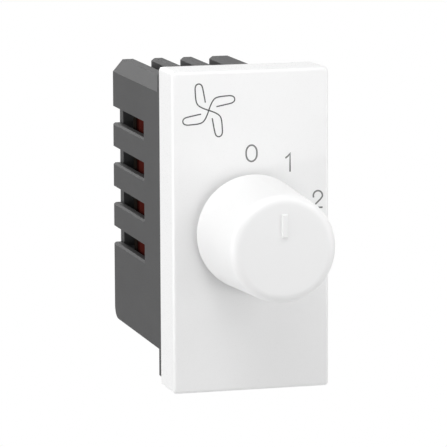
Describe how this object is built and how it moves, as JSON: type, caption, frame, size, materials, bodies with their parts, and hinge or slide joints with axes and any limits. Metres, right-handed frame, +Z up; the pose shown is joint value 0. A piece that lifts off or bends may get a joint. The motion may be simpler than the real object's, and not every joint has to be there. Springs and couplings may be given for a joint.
{
  "type": "fan speed control switch",
  "caption": "Wall module with a white front plate and a round knob that selects fan speeds; slotted dark grey housing with screw terminals behind.",
  "frame": {"origin": "centre of the plane where the flange's back face seats against the wall frame", "axes": "+X to the right as seen from the front, +Y into the wall and along the knob's axis, +Z up"},
  "size_m": [0.0226, 0.0522, 0.045],
  "materials": {
    "white_cover": "satin white moulding with a fine even surface",
    "white_knob": "soft gloss white moulding",
    "grey_housing": "matt dark grey glass-filled moulding",
    "black_moulding": "matt black moulding",
    "natural_nylon": "natural nylon",
    "brown_laminate": "dark brown paper laminate",
    "capacitor_red": "dark red-brown moulded box",
    "resistor_tan": "tan lacquer",
    "brass": "pressed or turned brass",
    "spindle_alloy": "turned",
    "spring_steel": "blued strip",
    "plated_steel": "zinc plated",
    "tinned_wire": "tinned copper"
  },
  "bodies": {
    "housing": {"front_cover": "white_cover", "rear_housing": "grey_housing", "front_carrier": "black_moulding", "switch_case": "black_moulding", "switch_bush": "brass", "switch_nut": "plated_steel", "detent_spring": "spring_steel", "rear_wafer": "brown_laminate", "fixed_contacts": "brass", "circuit_board": "brown_laminate", "upper_capacitor": "capacitor_red", "lower_capacitor": "capacitor_red", "capacitor_leads": "tinned_wire", "bleed_resistors": "resistor_tan", "jumper_wires": "tinned_wire", "line_terminal_cage": "brass", "line_terminal_bar": "brass", "load_terminal_cage": "brass", "load_terminal_bar": "brass"},
    "knob": {"knob": "white_knob", "knob_clip": "spring_steel", "spindle": "spindle_alloy", "detent_wheel": "natural_nylon", "contact_rotor": "natural_nylon", "wiper_contact": "brass"},
    "line_clamp": {"line_terminal_clamp_plate": "plated_steel", "line_terminal_screw": "plated_steel"},
    "load_clamp": {"load_terminal_clamp_plate": "plated_steel", "load_terminal_screw": "plated_steel"}
  },
  "joints": [
    {"name": "knob_turn", "type": "hinge", "parent": "housing", "child": "knob", "pos_m": [0, 0, 0], "axis": [0, 1, 0], "range_deg": [0, 132]},
    {"name": "line_clamp_slide", "type": "slide", "parent": "housing", "child": "line_clamp", "axis": [0, 0, 1], "range_m": [0, 0.0014]},
    {"name": "load_clamp_slide", "type": "slide", "parent": "housing", "child": "load_clamp", "axis": [0, 0, 1], "range_m": [0, 0.0014]}
  ]
}
